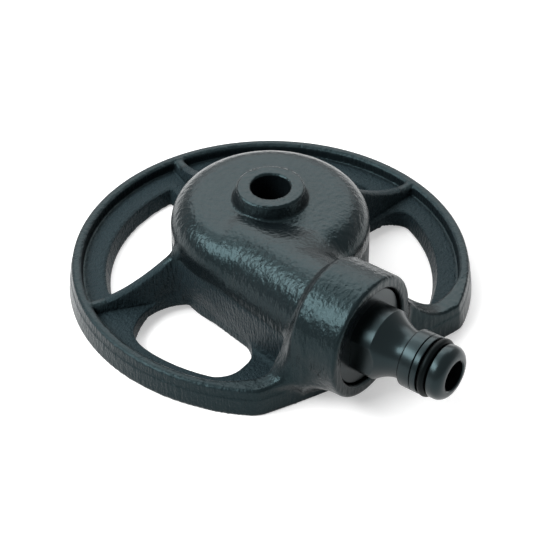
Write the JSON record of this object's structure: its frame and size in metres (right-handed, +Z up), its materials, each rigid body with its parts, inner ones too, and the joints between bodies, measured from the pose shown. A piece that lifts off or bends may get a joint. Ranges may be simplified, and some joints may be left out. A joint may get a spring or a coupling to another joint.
{
  "type": "stationary sprinkler",
  "caption": "Stationary lawn sprinkler: cast iron swirl-chamber head with a spray hole in its top, on a flat-sided ring foot, fed through a hose nipple screwed into the side boss.",
  "frame": {"origin": "on the ground, under the middle of the whole sprinkler with its nipple", "axes": "+Z up along the nozzle's axis, -Y out of the inlet along the nipple, +X to the side that the inlet is set away from"},
  "size_m": [0.118, 0.1372, 0.0366],
  "materials": {
    "painted_iron": "dark green-grey gloss paint over a cast skin",
    "painted_steel": "dark satin paint",
    "black_plastic": "satin moulded, fine turned lines",
    "black_rubber": "matte"
  },
  "bodies": {
    "casting": {"cast_body": "painted_iron", "chamber_plug": "painted_steel"},
    "washer": {"adapter_washer": "black_rubber"},
    "adapter": {"hose_adapter": "black_plastic", "nipple_o_ring": "black_rubber"}
  },
  "joints": [
    {"name": "adapter_travel", "type": "slide", "parent": "casting", "child": "washer", "axis": [0, -1, 0], "range_m": [0, 0.00817]},
    {"name": "adapter_turn", "type": "hinge", "parent": "washer", "child": "adapter", "pos_m": [-0.0207, -0.0408, 0.0182], "axis": [0, -1, 0], "range_deg": [0, 1620]}
  ],
  "couplings": [
    {"joint": "adapter_travel", "follows": "adapter_turn", "m_per_rad": 0.00028871}
  ]
}
